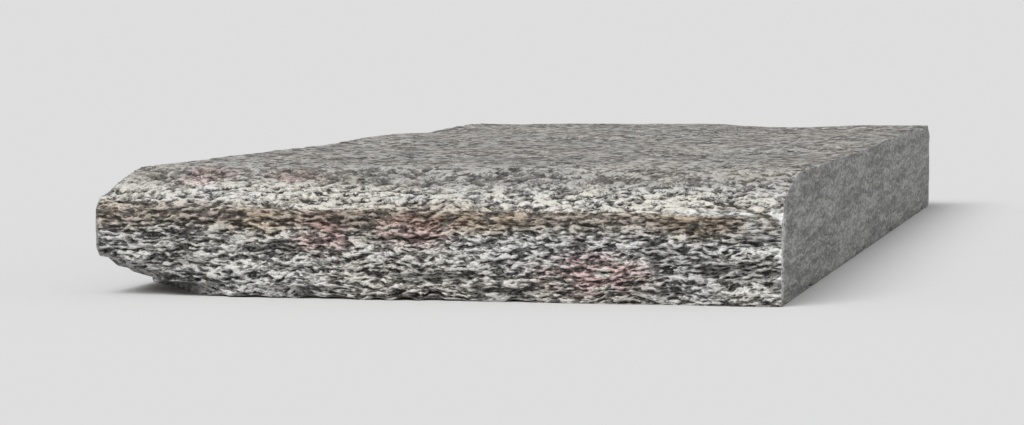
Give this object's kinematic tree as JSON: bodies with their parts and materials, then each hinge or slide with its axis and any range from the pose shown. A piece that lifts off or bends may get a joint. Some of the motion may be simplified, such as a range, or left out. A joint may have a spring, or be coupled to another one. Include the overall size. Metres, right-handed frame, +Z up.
{
  "type": "granite kerb stone",
  "caption": "Flat granite kerb slab with sawn long sides, layered split ends, a sloping broken nose and a flat lower bed to lay it on.",
  "frame": {"origin": "centre of the bounding box's bottom, on the lower bed that the stone lies on", "axes": "+Z up from the lower bed through the thickness; +Y along the length, from the front split end with the sloping nose to the back split end; +X across the width, towards the sawn side opposite the broken corner"},
  "size_m": [0.3, 0.8, 0.054],
  "materials": {
    "granite": "split and sawn, uncoated"
  },
  "bodies": {
    "root": {"kerb_stone": "granite"}
  },
  "joints": []
}
